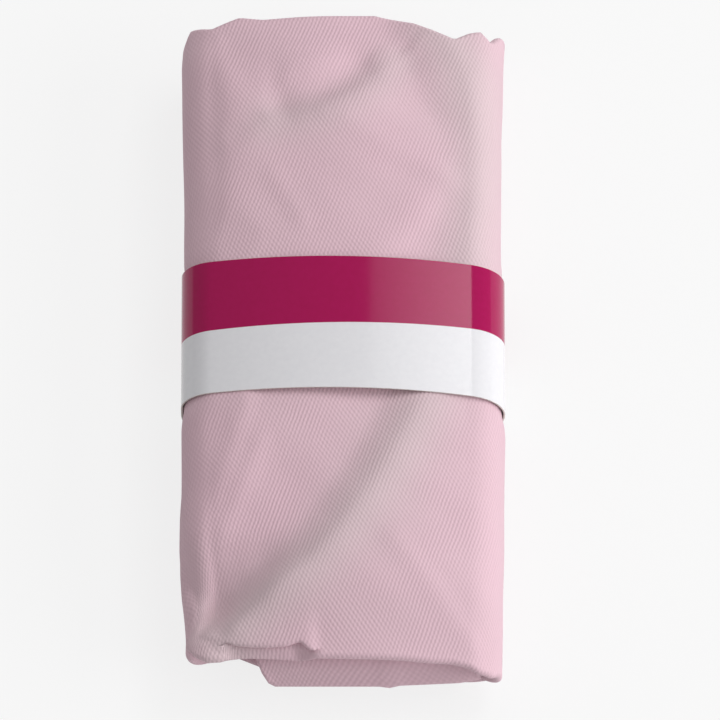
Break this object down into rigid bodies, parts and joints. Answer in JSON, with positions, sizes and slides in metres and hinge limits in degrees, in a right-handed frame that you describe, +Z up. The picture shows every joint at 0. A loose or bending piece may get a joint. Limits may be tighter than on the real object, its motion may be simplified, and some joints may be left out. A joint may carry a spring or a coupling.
{
  "type": "folded shower cap",
  "caption": "Fabric shower cap with an elastic hem, folded and rolled into a flat bundle and held shut by a printed card sleeve that slides off lengthwise.",
  "frame": {"origin": "under the middle of the bundle, on the plane that the sleeve's flat back rests on", "axes": "+X across the bundle to the right, +Y along its length, +Z up through its thickness, from the back to the front"},
  "size_m": [0.0672, 0.1482, 0.0251],
  "materials": {
    "cap_fabric": "pale pink woven twill, matt",
    "lining_film": "thin soft waterproof film",
    "binding_tape": "pink binding tape, matt",
    "elastic_web": "white woven elastic",
    "sewing_thread": "pink polyester thread",
    "printed_card": "glossy laminated card, crimson over white",
    "lap_tape": "double-sided tape"
  },
  "bodies": {
    "cap": {"cap_cloth": "cap_fabric", "cap_lining": "lining_film", "hem_binding": "binding_tape", "elastic_band": "elastic_web", "needle_thread": "sewing_thread", "bobbin_thread": "sewing_thread"},
    "sleeve": {"sleeve_card": "printed_card", "lap_tape": "lap_tape"}
  },
  "joints": [
    {"name": "sleeve_slide", "type": "slide", "parent": "cap", "child": "sleeve", "axis": [0, 1, 0], "range_m": [-0.092, 0.092]}
  ]
}
